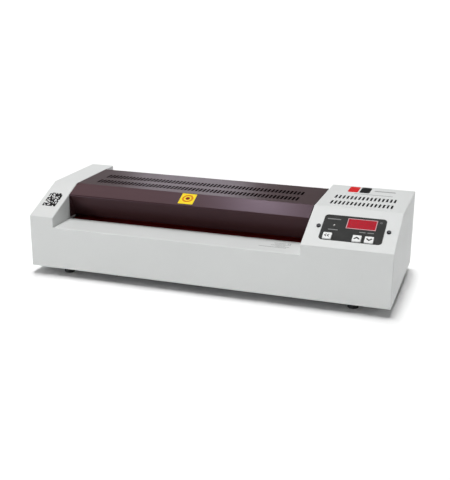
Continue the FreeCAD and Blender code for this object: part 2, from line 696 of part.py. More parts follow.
def nip_spring(side, y):
    """The compression spring between a bearing block and the frame's top flange."""
    low = BLOCK_TOP + SPRING_WIRE + 0.05
    high = FRAME_TOP - FRAME_SHEET - SPRING_WIRE - 0.05
    helix = Part.makeHelix((high - low) / SPRING_TURNS, high - low, SPRING_RADIUS)
    ring = Part.Wire([Part.Circle(Vector(SPRING_RADIUS, 0, 0), Vector(0, 1, 0.2), SPRING_WIRE).toShape()])
    coil = Part.Wire(helix).makePipeShell([ring], True, True)
    coil.translate(Vector(frame_inner(side) + outward(side) * SPRING_SEAT, y, low))
    return coil


def roller_core(y, z):
    return fuse([
        rod(*CORE_ENDS, y, z, CORE_RADIUS),
        rod(*SHAFT_ENDS, y, z, JOURNAL_RADIUS),
    ])


def roller_sleeve(y, z):
    sleeve = rod(*SLEEVE_ENDS, y, z, ROLLER_RADIUS)
    rims = [e for e in sleeve.Edges if len(e.Vertexes) == 1]
    sleeve = sleeve.makeFillet(0.8, rims)
    return sleeve.cut(rod(*SLEEVE_ENDS, y, z, CORE_RADIUS))


# ================================================================ gears
def gear_phase(phase, teeth, direction, mate_teeth):
    """The angle of a tooth on a gear that meshes, in this direction, with one at this phase."""
    pitch = 360.0 / teeth
    offset = (phase - direction + pitch / 2) % pitch - pitch / 2
    return direction + 180.0 - offset * teeth / mate_teeth + 180.0 / mate_teeth


def gear(teeth, y, z, phase, x_span, bore):
    """An involute spur gear on an X axis, with a tooth centred at the angle phase in the YZ plane."""
    pitch_radius = GEAR_MODULE * teeth / 2
    base = pitch_radius * math.cos(PRESSURE_ANGLE)
    tip = pitch_radius + ADDENDUM
    root = pitch_radius - DEDENDUM
    half_tooth = math.pi / (2 * teeth) - BACKLASH / (2 * pitch_radius)
    start = max(base, root)

    def flank(radius):
        """Half the tooth's angle at a radius."""
        press = math.acos(min(1.0, base / radius))
        return half_tooth + (math.tan(PRESSURE_ANGLE) - PRESSURE_ANGLE) - (math.tan(press) - press)

    def spot(radius, angle):
        return Vector(0, y + radius * math.cos(angle), z + radius * math.sin(angle))

    edges = []
    radii = [start + (tip - start) * step / 4 for step in range(5)]
    for i in range(teeth):
        middle = math.radians(phase) + 2 * math.pi * i / teeth
        following = middle + 2 * math.pi / teeth
        rising = [spot(r, middle - flank(r)) for r in radii]
        falling = [spot(r, middle + flank(r)) for r in reversed(radii)]
        for side in (rising, falling):
            curve = Part.BSplineCurve()
            curve.interpolate(side)
            edges.append(curve.toShape())
        edges.append(Part.Arc(rising[-1], spot(tip, middle), falling[0]).toShape())
        foot_angle = flank(start)
        low_left = spot(root, middle - foot_angle)
        low_right = spot(root, middle + foot_angle)
        if start > root + 1e-6:
            edges.append(Part.LineSegment(low_left, rising[0]).toShape())
            edges.append(Part.LineSegment(falling[-1], low_right).toShape())
        valley = spot(root, (middle + following) / 2)
        edges.append(Part.Arc(low_right, valley, spot(root, following - foot_angle)).toShape())
    outline = Part.Wire(Part.__sortEdges__(edges))
    x0, x1 = x_span
    blank = Part.Face(outline).extrude(Vector(x1 - x0, 0, 0))
    blank.translate(Vector(x0, 0, 0))
    return blank.cut(rod(x0 - 1, x1 + 1, y, z, bore))


def gear_phases():
    """The tooth phases of the whole train, worked out from the front lower roller's gear."""
    phases = {"lower_front": 90.0}
    to_idler = math.degrees(math.atan2(IDLER_Z - LOWER_Z, HALF_SPACING))
    phases["upper_front"] = gear_phase(90.0, ROLLER_TEETH, 90.0, ROLLER_TEETH)
    phases["idler"] = gear_phase(90.0, ROLLER_TEETH, to_idler, IDLER_TEETH)
    to_rear = math.degrees(math.atan2(LOWER_Z - IDLER_Z, HALF_SPACING))
    phases["lower_rear"] = gear_phase(phases["idler"], IDLER_TEETH, to_rear, ROLLER_TEETH)
    phases["upper_rear"] = gear_phase(phases["lower_rear"], ROLLER_TEETH, 90.0, ROLLER_TEETH)
    phases["motor"] = gear_phase(phases["lower_rear"], ROLLER_TEETH, 0.0, PINION_TEETH)
    return phases


# ================================================================ heaters and guide bars
def arc_shell(centre_z, sign, inner, outer, half_angle, x0, x1):
    """Part of a tube round a front roller, centred straight above it (1) or below it (-1)."""
    y = ROLLER_Y["front"]
    ring = rod(x0, x1, y, centre_z, outer).cut(rod(x0 - 1, x1 + 1, y, centre_z, inner))
    reach = 2 * outer
    across = reach * math.sin(math.radians(half_angle))
    rise = sign * reach * math.cos(math.radians(half_angle))
    beyond = sign * 2 * reach
    wedge = [(y, centre_z), (y - across, centre_z + rise), (y - reach, centre_z + beyond),
             (y + reach, centre_z + beyond), (y + across, centre_z + rise)]
    return ring.common(prism_x(wedge, x0 - 1, x1 + 1))


def end_taps(y, z):
    """The tapped holes in both ends of a bar that is screwed between the roller frames."""
    x0 = frame_inner("left")
    x1 = frame_inner("right")
    radius = SCREW_RADIUS + 0.02
    return [rod(x0 - 1, x0 + TAP_DEPTH, y, z, radius), rod(x1 - TAP_DEPTH, x1 + 1, y, z, radius)]


def heater_shoe(centre_z, sign):
    x0 = frame_inner("left")
    x1 = frame_inner("right")
    shoe = arc_shell(centre_z, sign, SHOE_INNER, SHOE_OUTER, SHOE_HALF_ANGLE, x0, x1)
    bosses = [(y, z) for y, z in shoe_boss_places() if abs(z - centre_z) < SHOE_OUTER + 2]
    shoe = fuse([shoe] + [rod(x0, x1, y, z, SHOE_BOSS_RADIUS) for y, z in bosses])
    shoe = shoe.cut(rod(x0 - 1, x1 + 1, ROLLER_Y["front"], centre_z, SHOE_INNER))
    return cut(shoe, [tap for y, z in bosses for tap in end_taps(y, z)])


def heating_element(centre_z, sign):
    outer = SHOE_OUTER + ELEMENT_THICKNESS
    return arc_shell(centre_z, sign, SHOE_OUTER, outer, ELEMENT_HALF_ANGLE, *ELEMENT_ENDS)


def thermal_cutout(x):
    """A round thermostat bedded on the upper heating element, with its two blades."""
    y = ROLLER_Y["front"]
    level = UPPER_Z + SHOE_OUTER + ELEMENT_THICKNESS
    top = level + CUTOUT_RISE
    body = Part.makeCylinder(CUTOUT_RADIUS, CUTOUT_RISE + 2.2, Vector(x, y, level - 2.2))
    body = body.cut(rod(x - 20, x + 20, y, UPPER_Z, SHOE_OUTER + ELEMENT_THICKNESS))
    blades = [box(x + offset - 1.5, x + offset + 1.5, y - 0.4, y + 0.4, top, top + 2.0)
              for offset in (-4, 4)]
    return fuse([body] + blades)


def guide_bar(sign):
    """A T-shaped bar that carries the pouch from the front rollers to the rear ones."""
    x0 = frame_inner("left")
    x1 = frame_inner("right")
    middle = ROLLER_Y["front"] + HALF_SPACING
    face = NIP_HEIGHT + sign * BAR_GAP
    web = face + sign * BAR_THICKNESS
    end = face + sign * BAR_DEPTH
    bar = fuse([
        box(x0, x1, middle - BAR_HALF_WIDTH, middle + BAR_HALF_WIDTH, face, web),
        box(x0, x1, middle - BAR_HALF_WEB, middle + BAR_HALF_WEB, web, end),
    ])
    lower_screw, upper_screw = bar_screw_places()
    return cut(bar, end_taps(*(upper_screw if sign > 0 else lower_screw)))


# ================================================================ drive
def motor_ears():
    """Where the motor's two screw ears are, as (y, z), across one diagonal of its face."""
    reach = (MOTOR_RADIUS + 4.0) * math.sqrt(0.5)
    return [(MOTOR_Y - reach, MOTOR_Z + reach), (MOTOR_Y + reach, MOTOR_Z - reach)]


def gear_motor():
    x0, x1 = MOTOR_SPAN
    gearbox = rod(x0, x0 + GEARBOX_LENGTH, MOTOR_Y, MOTOR_Z, MOTOR_RADIUS)
    can = rod(x0 + GEARBOX_LENGTH, x1, MOTOR_Y, MOTOR_Z, MOTOR_RADIUS - 2.5)
    rims = [e for e in can.Edges if e.CenterOfMass.x > x1 - 0.1 and len(e.Vertexes) == 1]
    can = can.makeFillet(2.5, rims[:1])
    ears = []
    for y, z in motor_ears():
        ears.append(rod(x0, x0 + EAR_THICKNESS, y, z, EAR_RADIUS))
        arm = box(x0, x0 + EAR_THICKNESS, MOTOR_Y - EAR_RADIUS, MOTOR_Y + EAR_RADIUS,
                  MOTOR_Z, MOTOR_Z + MOTOR_RADIUS + 4.0)
        arm.rotate(Vector(x0, MOTOR_Y, MOTOR_Z), Vector(1, 0, 0), 45 if y < MOTOR_Y else 225)
        ears.append(arm)
    body = fuse([gearbox, can] + ears)
    tools = [rod(x0 - 1, x0 + 5, y, z, SCREW_HOLE) for y, z in motor_ears()]
    tools.append(rod(x0 - 1, x0 + 14, MOTOR_Y, MOTOR_Z, MOTOR_SHAFT_RADIUS + JOURNAL_CLEARANCE))
    return cut(body, tools)


def motor_shaft():
    return rod(GEAR_FACE[0] - 1, MOTOR_SPAN[0] + 12, MOTOR_Y, MOTOR_Z, MOTOR_SHAFT_RADIUS)


def motor_bracket():
    x0 = MOTOR_PLATE_X
    x1 = x0 + FRAME_SHEET
    front = MOTOR_Y - BRACKET_FRONT
    foot_back = MOTOR_Y + BRACKET_FOOT_BACK
    top = MOTOR_Z + BRACKET_RISE
    plate = fuse([
        box(x0, x1, front, foot_back, BASE_TOP, top),
        box(x0, x1, foot_back, MOTOR_Y + BRACKET_BACK, BASE_TOP + 5, top),
        box(x0, x1 + BRACKET_FOOT, front, foot_back, BASE_TOP, BASE_TOP + FRAME_SHEET),
    ])
    tools = [rod(x0 - 1, x1 + 1, MOTOR_Y, MOTOR_Z, 8.0)]
    tools += [rod(x0 - 1, x1 + 1, y, z, SCREW_HOLE) for y, z in motor_ears()]
    tools += [hole(place, UP, 8) for place in bracket_screws()]
    return cut(plate, tools)


def idler_stud():
    """The idler's stud: a head inside the frame, a collar outside it and a washer past the gear."""
    inner, outer = frame_x("right")
    end = GEAR_FACE[1] + 2.0
    return fuse([
        rod(inner - 1.5, inner, IDLER_Y, IDLER_Z, STUD_COLLAR),
        rod(inner, end, IDLER_Y, IDLER_Z, STUD_RADIUS),
        rod(end - 1.4, end, IDLER_Y, IDLER_Z, STUD_RADIUS + 1.5),
        rod(outer, GEAR_FACE[0] - 0.4, IDLER_Y, IDLER_Z, STUD_COLLAR),
    ])


# ================================================================ controls
def control_overlay():
    sheet = plate_z(*OVERLAY_X, *OVERLAY_S, 0, OVERLAY_THICKNESS, 5.0)
    return on_slope(cut(sheet, panel_holes()))


def display_window():
    """A red filter with a flange behind the sheet."""
    x0, x1 = DISPLAY_X
    s0, s1 = DISPLAY_S
    inset = BEZEL_WIDTH + 0.3
    pane = box(x0 + inset, x1 - inset, s0 + inset, s1 - inset, -SHEET, WINDOW_RISE)
    flange = box(x0 - 2, x1 + 2, s0 - 2, s1 + 2, -SHEET - 1.5, -SHEET)
    return on_slope(fuse([pane, flange]))


def display_bezel():
    """The pale frame round the display."""
    x0, x1 = DISPLAY_X
    s0, s1 = DISPLAY_S
    outer = 0.15
    inner = BEZEL_WIDTH + 0.25
    frame = box(x0 + outer, x1 - outer, s0 + outer, s1 - outer, -SHEET, BEZEL_RISE)
    opening = box(x0 + inner, x1 - inner, s0 + inner, s1 - inner, -5, 5)
    return on_slope(frame.cut(opening))


def display_module():
    x0, x1 = DISPLAY_X
    s0, s1 = DISPLAY_S
    return on_slope(box(x0 + 3, x1 - 3, s0 + 3, s1 - 3, BOARD_LEVEL, -SHEET - 1.7))


def push_button(name):
    """A square cap with a retaining flange and a stem that reaches down to its switch."""
    x, s = BUTTON_CENTRES[name]
    half_x = BUTTON_SIZE[0] / 2
    half_s = BUTTON_SIZE[1] / 2
    top = OVERLAY_THICKNESS + BUTTON_RISE
    under_sheet = -SHEET - 0.15
    cap = plate_z(x - half_x, x + half_x, s - half_s, s + half_s, under_sheet - 0.05, top, 1.0)
    rim = [e for e in cap.Edges if e.BoundBox.ZMin > top - 0.01]
    cap = cap.makeFillet(0.4, rim)
    flange = box(x - half_x - 1, x + half_x + 1, s - half_s - 1, s + half_s + 1,
                 under_sheet - 1.65, under_sheet)
    stem = Part.makeCylinder(1.8, 5.0, Vector(x, s, STEM_END))
    return on_slope(fuse([cap, flange, stem]))


def tact_switch(name):
    x, s = BUTTON_CENTRES[name]
    body = box(x - 3, x + 3, s - 3, s + 3, BOARD_LEVEL, BOARD_LEVEL + SWITCH_RISE)
    plunger = Part.makeCylinder(1.7, 0.9, Vector(x, s, BOARD_LEVEL + SWITCH_RISE))
    return on_slope(fuse([body, plunger]))


def indicator_led():
    x, s = LED_CENTRE
    body = Part.makeCylinder(LED_RADIUS, -BOARD_LEVEL + 0.6, Vector(x, s, BOARD_LEVEL))
    dome = Part.makeSphere(LED_RADIUS, Vector(x, s, 0.6))
    return on_slope(fuse([body, dome]))


def control_board():
    """The circuit board with its two relays, terminal strip, processor and capacitors below it."""
    x0, x1 = BOARD_X
    s0, s1 = BOARD_S
    low = BOARD_LEVEL - BOARD_THICKNESS
    board = box(x0, x1, s0, s1, low, BOARD_LEVEL)
    relays = [box(x, x + 19, s1 - 20, s1 - 5, low - 15, low) for x in (x0 + 14, x0 + 37)]
    terminals = box(x0 + 60, x0 + 90, s1 - 14, s1 - 6, low - 9, low)
    processor = box(x0 + 45, x0 + 60, s0 + 12, s0 + 22, low - 2.5, low)
    caps = [Part.makeCylinder(5, 12, Vector(x1 - 14, s, low - 12)) for s in (s0 + 12, s0 + 26)]
    board = fuse([board, terminals, processor] + relays + caps)
    holes = [Part.makeCylinder(SCREW_HOLE, 6, Vector(x, s, low - 1)) for x, s in PANEL_SCREWS]
    return on_slope(cut(board, holes))


def standoffs():
    solids = []
    for x, s in PANEL_SCREWS:
        post = Part.makeCylinder(3.0, -BOARD_LEVEL - SHEET, Vector(x, s, BOARD_LEVEL))
        tap = Part.makeCylinder(SCREW_RADIUS + 0.02, 20, Vector(x, s, BOARD_LEVEL - 1))
        solids.append(on_slope(post.cut(tap)))
    return solids


def panel_screws():
    normal = on_slope(Part.Vertex(0, 0, 1)).Point - on_slope(Part.Vertex(0, 0, 0)).Point
    return [screw(on_slope(Part.Vertex(x, s, 0)).Point, normal * -1, 8.0) for x, s in PANEL_SCREWS]


# ================================================================ power
def transformer():
    """A small mains transformer: winding, iron core and the strap that screws it down."""
    x, y = TRANSFORMER
    sheet = 1.0
    low = BASE_TOP + sheet
    half_x, half_y, top = TRANSFORMER_CORE[0] / 2, TRANSFORMER_CORE[1] / 2, low + TRANSFORMER_CORE[2]
    core = box(x - half_x, x + half_x, y - half_y, y + half_y, low, top)
    outer = half_x + sheet
    lug_end = TRANSFORMER_SCREW_REACH + 5
    strap = fuse([
        box(x - outer, x + outer, y - 5, y + 5, BASE_TOP, top + sheet),
        box(x - lug_end, x + lug_end, y - 5, y + 5, BASE_TOP, low),
    ])
    strap = strap.cut(box(x - half_x, x + half_x, y - 6, y + 6, low, top))
    half_x, half_y = TRANSFORMER_COIL[0] / 2, TRANSFORMER_COIL[1] / 2
    coil = plate_z(x - half_x, x + half_x, y - half_y, y + half_y, low + 6, top - 6, 3.0).cut(core)
    strap = cut(strap, [hole(place, UP, 6) for place in transformer_screws()])
    return core, strap, *coil.Solids


def inlet_screws():
    x, z = INLET_CENTRE
    return [Vector(x, REAR_FACE + 2, z + side * 20) for side in (-1, 1)]


def power_inlet():
    """A C14 appliance inlet with a screwed flange, open to the back."""
    y = REAR_FACE
    body = fuse([
        centred_box(*INLET_CENTRE, INLET_FLANGE, y, y + 2),
        centred_box(*INLET_CENTRE, INLET_SIZE, y - INLET_BODY_DEPTH, y),
    ])
    cavity = centred_box(*INLET_CENTRE, INLET_CAVITY, y - INLET_CAVITY_DEPTH, y + 3)
    screw_holes = [hole(place, INWARD, 4) for place in inlet_screws()]
    return cut(body, [cavity] + inlet_pins() + screw_holes)


def inlet_pins():
    x, z = INLET_CENTRE
    near, far = INLET_PIN_SPAN
    return [centred_box(x + across, z + rise, INLET_PIN_SIZE, REAR_FACE - far, REAR_FACE - near)
            for across, rise in INLET_PINS]


def power_switch():
    """The rocker's housing, with its two blades for the leads behind it."""
    x, z = SWITCH_CENTRE
    y = REAR_FACE
    body = fuse([
        centred_box(x, z, SWITCH_FLANGE, y, y + 1.5),
        centred_box(x, z, SWITCH_SIZE, y - SWITCH_BODY_DEPTH, y),
    ])
    cavity = centred_box(x, z, SWITCH_CAVITY, y - 5, y + 3)
    sockets = rod(x - 6.3, x + 6.3, y, z, ROCKER_PIN_RADIUS + 0.07)
    blades = [centred_box(x, z + offset, (4.8, 0.8), y - SWITCH_BLADE_DEPTH, y - SWITCH_BODY_DEPTH)
              for offset in (-SWITCH_BLADE_OFFSET, SWITCH_BLADE_OFFSET)]
    return fuse([cut(body, [cavity, sockets])] + blades)


def power_rocker():
    """A rocker that tilts on two pins; it is stored with its upper end pressed in."""
    x, z = SWITCH_CENTRE
    y = REAR_FACE
    half = ROCKER_WIDTH / 2
    outline = [(y - 0.6, z - 7.9), (y + 3.3, z - 7.9), (y + 2.0, z), (y + 3.3, z + 7.9), (y - 0.6, z + 7.9),
               (y - 2.6, z + 3.0), (y - 2.6, z - 3.0)]
    paddle = prism_x(outline, x - half, x + half, [0.4, 0.8, 12.0, 0.8, 0.4, 1.0, 1.0])
    rocker = fuse([paddle, rod(x - half - 1, x + half + 1, y, z, ROCKER_PIN_RADIUS)])
    rocker.rotate(Vector(x, y, z), Vector(1, 0, 0), ROCKER_TILT)
    return rocker


def lead(points, radius):
    """An insulated lead along straight runs joined by tangent arcs as large as the runs allow."""
    points = [Vector(*p) for p in points]
    edges = []
    last = points[0]
    for before, corner, after in zip(points, points[1:], points[2:]):
        back = (before - corner).normalize()
        ahead = (after - corner).normalize()
        half = back.getAngle(ahead) / 2
        reach = 0.45 * min((before - corner).Length, (after - corner).Length)
        bend = reach * math.tan(half)
        bisector = (back + ahead).normalize()
        centre = corner + bisector * (bend / math.sin(half))
        start = corner + back * reach
        finish = corner + ahead * reach
        edges.append(Part.LineSegment(last, start).toShape())
        edges.append(Part.Arc(start, centre - bisector * bend, finish).toShape())
        last = finish
    edges.append(Part.LineSegment(last, points[-1]).toShape())
    path = Part.Wire(edges)
    ring = Part.Wire([Part.Circle(points[0], points[1] - points[0], radius).toShape()])
    return path.makePipeShell([ring], True, True)


def wiring():
    """The leads from the inlet to the switch, from the switch to the board, and to the motor."""
    switch_x, switch_z = SWITCH_CENTRE
    lower_blade = switch_z - SWITCH_BLADE_OFFSET
    upper_blade = switch_z + SWITCH_BLADE_OFFSET
    pin_x = INLET_CENTRE[0] + INLET_PINS[1][0]
    pin_z = INLET_CENTRE[1] + INLET_PINS[1][1]
    pin_end = REAR_FACE - INLET_PIN_SPAN[1]
    blade_end = REAR_FACE - SWITCH_BLADE_DEPTH
    motor_end = MOTOR_SPAN[1]
    runs = [
        [(pin_x, pin_end, pin_z), (pin_x, pin_end - 10, pin_z), (pin_x, pin_end - 12, pin_z + 16),
         (switch_x, blade_end - 12, lower_blade), (switch_x, blade_end, lower_blade)],
        [(switch_x, blade_end, upper_blade), (switch_x, blade_end - 14, upper_blade + 0.5),
         (switch_x + 4, blade_end - 44, switch_z + 2), (switch_x + 2, blade_end - 76, switch_z - 4),
         (switch_x - 4, blade_end - 96, switch_z - 12)],
        [(motor_end, MOTOR_Y - 10, MOTOR_Z + 12), (motor_end + 8, MOTOR_Y - 10, MOTOR_Z + 12),
         (motor_end + 10, MOTOR_Y - 34, MOTOR_Z + 15), (motor_end + 8, MOTOR_Y - 62, MOTOR_Z + 13),
         (motor_end + 2, MOTOR_Y - 84, MOTOR_Z + 8)],
    ]
    return [lead(run, LEAD_RADIUS) for run in runs]


# ================================================================ fasteners
def case_screws():
    """The screws that close the case and hold its feet: under it, behind it and inside the cheeks."""
    solids = [screw(Vector(x, y, FOOT_POCKET), UP, 9.0) for x, y in foot_places().values()]
    solids += [screw(place, UP, 5.0) for place in bottom_screw_places()]
    solids += [screw(place, UP, 4.5) for place in rear_flange_screws()]
    solids += [screw(place, INWARD, 6.0) for place in rear_screw_places()]
    solids += [screw(place, way, 5.0) for place, way in cover_screw_places()]
    solids += [screw(place, INWARD, 7.0) for place in inlet_screws()]
    return solids


def frame_screws():
    """The screws that hold the roller frames, heater shoes, guide bars, motor and transformer."""
    into_base = frame_flange_screws() + bracket_screws() + transformer_screws()
    solids = [screw(place, UP, 6.0) for place in into_base]
    for y, z in shoe_boss_places() + bar_screw_places():
        solids.append(screw(Vector(frame_x("left")[0], y, z), Vector(1, 0, 0), 10.0))
        solids.append(screw(Vector(frame_x("right")[1], y, z), Vector(-1, 0, 0), 10.0))
    for y, z in motor_ears():
        solids.append(screw(Vector(MOTOR_SPAN[0] + EAR_THICKNESS, y, z), Vector(-1, 0, 0), 6.0))
    return solids


# ================================================================ all the parts
save("main_housing", main_housing())
save("base_plate", base_plate())
save("rear_panel", rear_panel())
save("top_cover", top_cover())
save("feed_guide", feed_guide())
save("exit_guide", exit_guide())
for name, (x, y) in foot_places().items():
    save(name, foot(x, y))
save("case_screws", *case_screws())
save("frame_screws", *frame_screws())

for side in ("left", "right"):
    save(f"side_frame_{side}", side_frame(side))
save("roller_bushes", *[bush(side, y) for side in ("left", "right") for y in ROLLER_Y.values()])

phases = gear_phases()
idler_bore = STUD_RADIUS + JOURNAL_CLEARANCE
for place, y in ROLLER_Y.items():
    save(f"{place}_bearing_blocks", *[bearing_block(side, y) for side in ("left", "right")])
    save(f"{place}_nip_springs", *[nip_spring(side, y) for side in ("left", "right")])
    for level, z in (("lower", LOWER_Z), ("upper", UPPER_Z)):
        save(f"{level}_{place}_shaft", roller_core(y, z))
        save(f"{level}_{place}_sleeve", roller_sleeve(y, z))
        phase = phases[f"{level}_{place}"]
        save(f"{level}_{place}_gear", gear(ROLLER_TEETH, y, z, phase, GEAR_FACE, JOURNAL_RADIUS))
save("idler_gear", gear(IDLER_TEETH, IDLER_Y, IDLER_Z, phases["idler"], GEAR_FACE, idler_bore))
save("idler_stud", idler_stud())
save("motor_gear", gear(PINION_TEETH, MOTOR_Y, MOTOR_Z, phases["motor"], GEAR_FACE, MOTOR_SHAFT_RADIUS))
save("motor_shaft", motor_shaft())
save("gear_motor", gear_motor())
save("motor_bracket", motor_bracket())

save("upper_heater_shoe", heater_shoe(UPPER_Z, 1))
save("lower_heater_shoe", heater_shoe(LOWER_Z, -1))
save("heating_elements", heating_element(UPPER_Z, 1), heating_element(LOWER_Z, -1))
save("thermal_cutouts", *[thermal_cutout(x) for x in CUTOUT_PLACES])
save("guide_bars", guide_bar(1), guide_bar(-1))

save("control_overlay", control_overlay())
save("display_window", display_window())
save("display_bezel", display_bezel())
save("display_module", display_module())
for name in BUTTON_CENTRES:
    save(f"button_{name}", push_button(name))
save("tact_switches", *[tact_switch(name) for name in BUTTON_CENTRES])
save("indicator_led", indicator_led())
save("control_board", control_board())
save("board_standoffs", *standoffs())
save("panel_screws", *panel_screws())

save("transformer", *transformer())
save("power_inlet", power_inlet())
save("inlet_pins", *inlet_pins())
save("power_switch", power_switch())
save("power_rocker", power_rocker())
save("wiring", *wiring())
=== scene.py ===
import json
import math
import random

import bmesh
import bpy
from mathutils import Matrix, Vector


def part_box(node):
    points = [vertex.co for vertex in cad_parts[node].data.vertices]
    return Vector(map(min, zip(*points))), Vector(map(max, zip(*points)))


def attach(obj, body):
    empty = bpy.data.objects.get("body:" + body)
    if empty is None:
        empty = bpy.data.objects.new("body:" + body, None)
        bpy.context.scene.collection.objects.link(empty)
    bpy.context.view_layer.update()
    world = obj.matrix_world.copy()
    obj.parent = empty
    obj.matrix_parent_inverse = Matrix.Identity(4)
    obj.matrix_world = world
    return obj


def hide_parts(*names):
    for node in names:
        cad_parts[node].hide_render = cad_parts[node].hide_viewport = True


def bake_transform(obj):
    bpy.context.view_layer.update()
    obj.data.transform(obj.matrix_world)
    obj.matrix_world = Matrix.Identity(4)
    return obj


# The looks of the pouch laminator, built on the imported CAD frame. Everything is in metres, except that
# prints and labels are drawn in millimetres on their surfaces.
# +X runs to the right as seen from the front, +Y to the back, +Z up.

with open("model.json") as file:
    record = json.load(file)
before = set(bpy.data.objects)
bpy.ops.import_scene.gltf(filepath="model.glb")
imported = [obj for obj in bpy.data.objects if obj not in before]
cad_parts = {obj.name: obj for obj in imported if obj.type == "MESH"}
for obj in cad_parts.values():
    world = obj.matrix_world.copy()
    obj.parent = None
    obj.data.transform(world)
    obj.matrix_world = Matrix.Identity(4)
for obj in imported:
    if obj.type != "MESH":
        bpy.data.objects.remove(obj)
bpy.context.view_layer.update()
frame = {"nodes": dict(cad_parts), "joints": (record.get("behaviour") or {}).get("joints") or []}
nodes = frame["nodes"]

MM = 0.001
CASE_LOW, CASE_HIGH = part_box("main_housing")

# ---------------------------------------------------------------- places on the object


class Surface:
    """A flat place to print or stick on: an origin, a direction across it and a direction up it."""

    def __init__(self, origin, across, up):
        self.origin = Vector(origin)
        self.across = Vector(across).normalized()
        self.up = Vector(up).normalized()
        self.out = self.across.cross(self.up)

    def at(self, u, v, lift=0.0):
        """The point u across, v up and lift out from the surface's origin."""
        return self.origin + self.across * u + self.up * v + self.out * lift

    def raised(self, lift):
        """The same place on something that lies lift above this surface."""
        return Surface(self.at(0, 0, lift), self.across, self.up)


RIGHTWARD, LEFTWARD = (1, 0, 0), (-1, 0, 0)
BACKWARD, UPWARD = (0, 1, 0), (0, 0, 1)
FRONT_HEIGHT = 81.0 * MM        # where the front of a cheek meets its slope
SLOPE_RUN = 73.5 * MM           # from the front to the slope's top edge, measured level
SHELF_HEIGHT = 67.5 * MM
OVERLAY_RISE = 0.5 * MM         # faces on the right cheek's panel, above the slope
WINDOW_RISE = 0.7 * MM
KEY_RISE = 2.1 * MM

slope = Surface((0, CASE_LOW.y, FRONT_HEIGHT), RIGHTWARD, (0, SLOPE_RUN, CASE_HIGH.z - FRONT_HEIGHT))
overlay_face = slope.raised(OVERLAY_RISE)
window_face = slope.raised(WINDOW_RISE)
key_face = slope.raised(KEY_RISE)
case_top = Surface((0, CASE_LOW.y, CASE_HIGH.z), RIGHTWARD, BACKWARD)
shelf = Surface((0, CASE_LOW.y, SHELF_HEIGHT), RIGHTWARD, BACKWARD)
rear = Surface((0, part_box("rear_panel")[1].y, 0), LEFTWARD, UPWARD)

# ---------------------------------------------------------------- materials


def linear(channel):
    """One 0-255 display value as the linear value that shaders work in."""
    c = channel / 255.0
    return c / 12.92 if c <= 0.04045 else ((c + 0.055) / 1.055) ** 2.4


def tone(rgb, scale=1.0):
    """A display colour as a shader's colour, made lighter or darker by scale."""
    return tuple(min(1.0, linear(c) * scale) for c in rgb) + (1.0,)


# the agreement between a rounded-off normal and the face's own where the painted edge highlight is full,
# and where there is none
EDGE_AGREEMENT = (0.88, 0.995)


class Shader:
    """A material's node tree, with its principled shader and its object coordinates."""

    def __init__(self, name):
        self.material = bpy.data.materials.new(name)
        self.material.use_nodes = True
        self.tree = self.material.node_tree
        self.principled = self.tree.nodes["Principled BSDF"]
        self.place = self.tree.nodes.new("ShaderNodeTexCoord").outputs["Object"]

    def node(self, kind, **settings):
        made = self.tree.nodes.new(kind)
        for key, value in settings.items():
            setattr(made, key, value)
        return made

    def link(self, source, target):
        self.tree.links.new(source, target)

    def noise(self, size, detail=2.0, stretch=(1, 1, 1)):
        """Noise with features about size metres across, drawn out along an axis by stretch."""
        mapping = self.node("ShaderNodeMapping")
        mapping.inputs["Scale"].default_value = [1 / (size * s) for s in stretch]
        texture = self.node("ShaderNodeTexNoise")
        texture.inputs["Scale"].default_value = 1.0
        texture.inputs["Detail"].default_value = detail
        self.link(self.place, mapping.inputs["Vector"])
        self.link(mapping.outputs["Vector"], texture.inputs["Vector"])
        return texture.outputs["Fac"]

    def spread(self, value, low, high, start=0.3, end=0.7):
        """A 0-1 value carried over to the range from low to high."""
        remap = self.node("ShaderNodeMapRange")
        remap.inputs["From Min"].default_value = start
        remap.inputs["From Max"].default_value = end
        remap.inputs["To Min"].default_value = low
        remap.inputs["To Max"].default_value = high
        self.link(value, remap.inputs["Value"])
        return remap.outputs["Result"]

    def mix(self, factor, first, second):
        """A colour between two, each a colour or another node's output."""
        blend = self.node("ShaderNodeMix", data_type="RGBA")
        self.link(factor, blend.inputs["Factor"])
        for socket, colour in ((blend.inputs[6], first), (blend.inputs[7], second)):
            if isinstance(colour, tuple):
                socket.default_value = colour
            else:
                self.link(colour, socket)
        return blend.outputs[2]

    def edges(self, radius):
        """1 on the object's edges within radius, 0 on its flats."""
        bevel = self.node("ShaderNodeBevel", samples=4)
        bevel.inputs["Radius"].default_value = radius
        geometry = self.node("ShaderNodeNewGeometry")
        dot = self.node("ShaderNodeVectorMath", operation="DOT_PRODUCT")
        self.link(bevel.outputs["Normal"], dot.inputs[0])
        self.link(geometry.outputs["Normal"], dot.inputs[1])
        return self.spread(dot.outputs["Value"], 1.0, 0.0, *EDGE_AGREEMENT)


FLECK_SIZE = 1.7                # flecks of a second colour, against the grain's size
FLECK_BAND = (0.55, 0.75)       # the part of the noise that they are made from
FLECK_STRENGTH = 0.5
GLOSS_PATCH = 0.6               # patches of more and less gloss, against the mottle's size


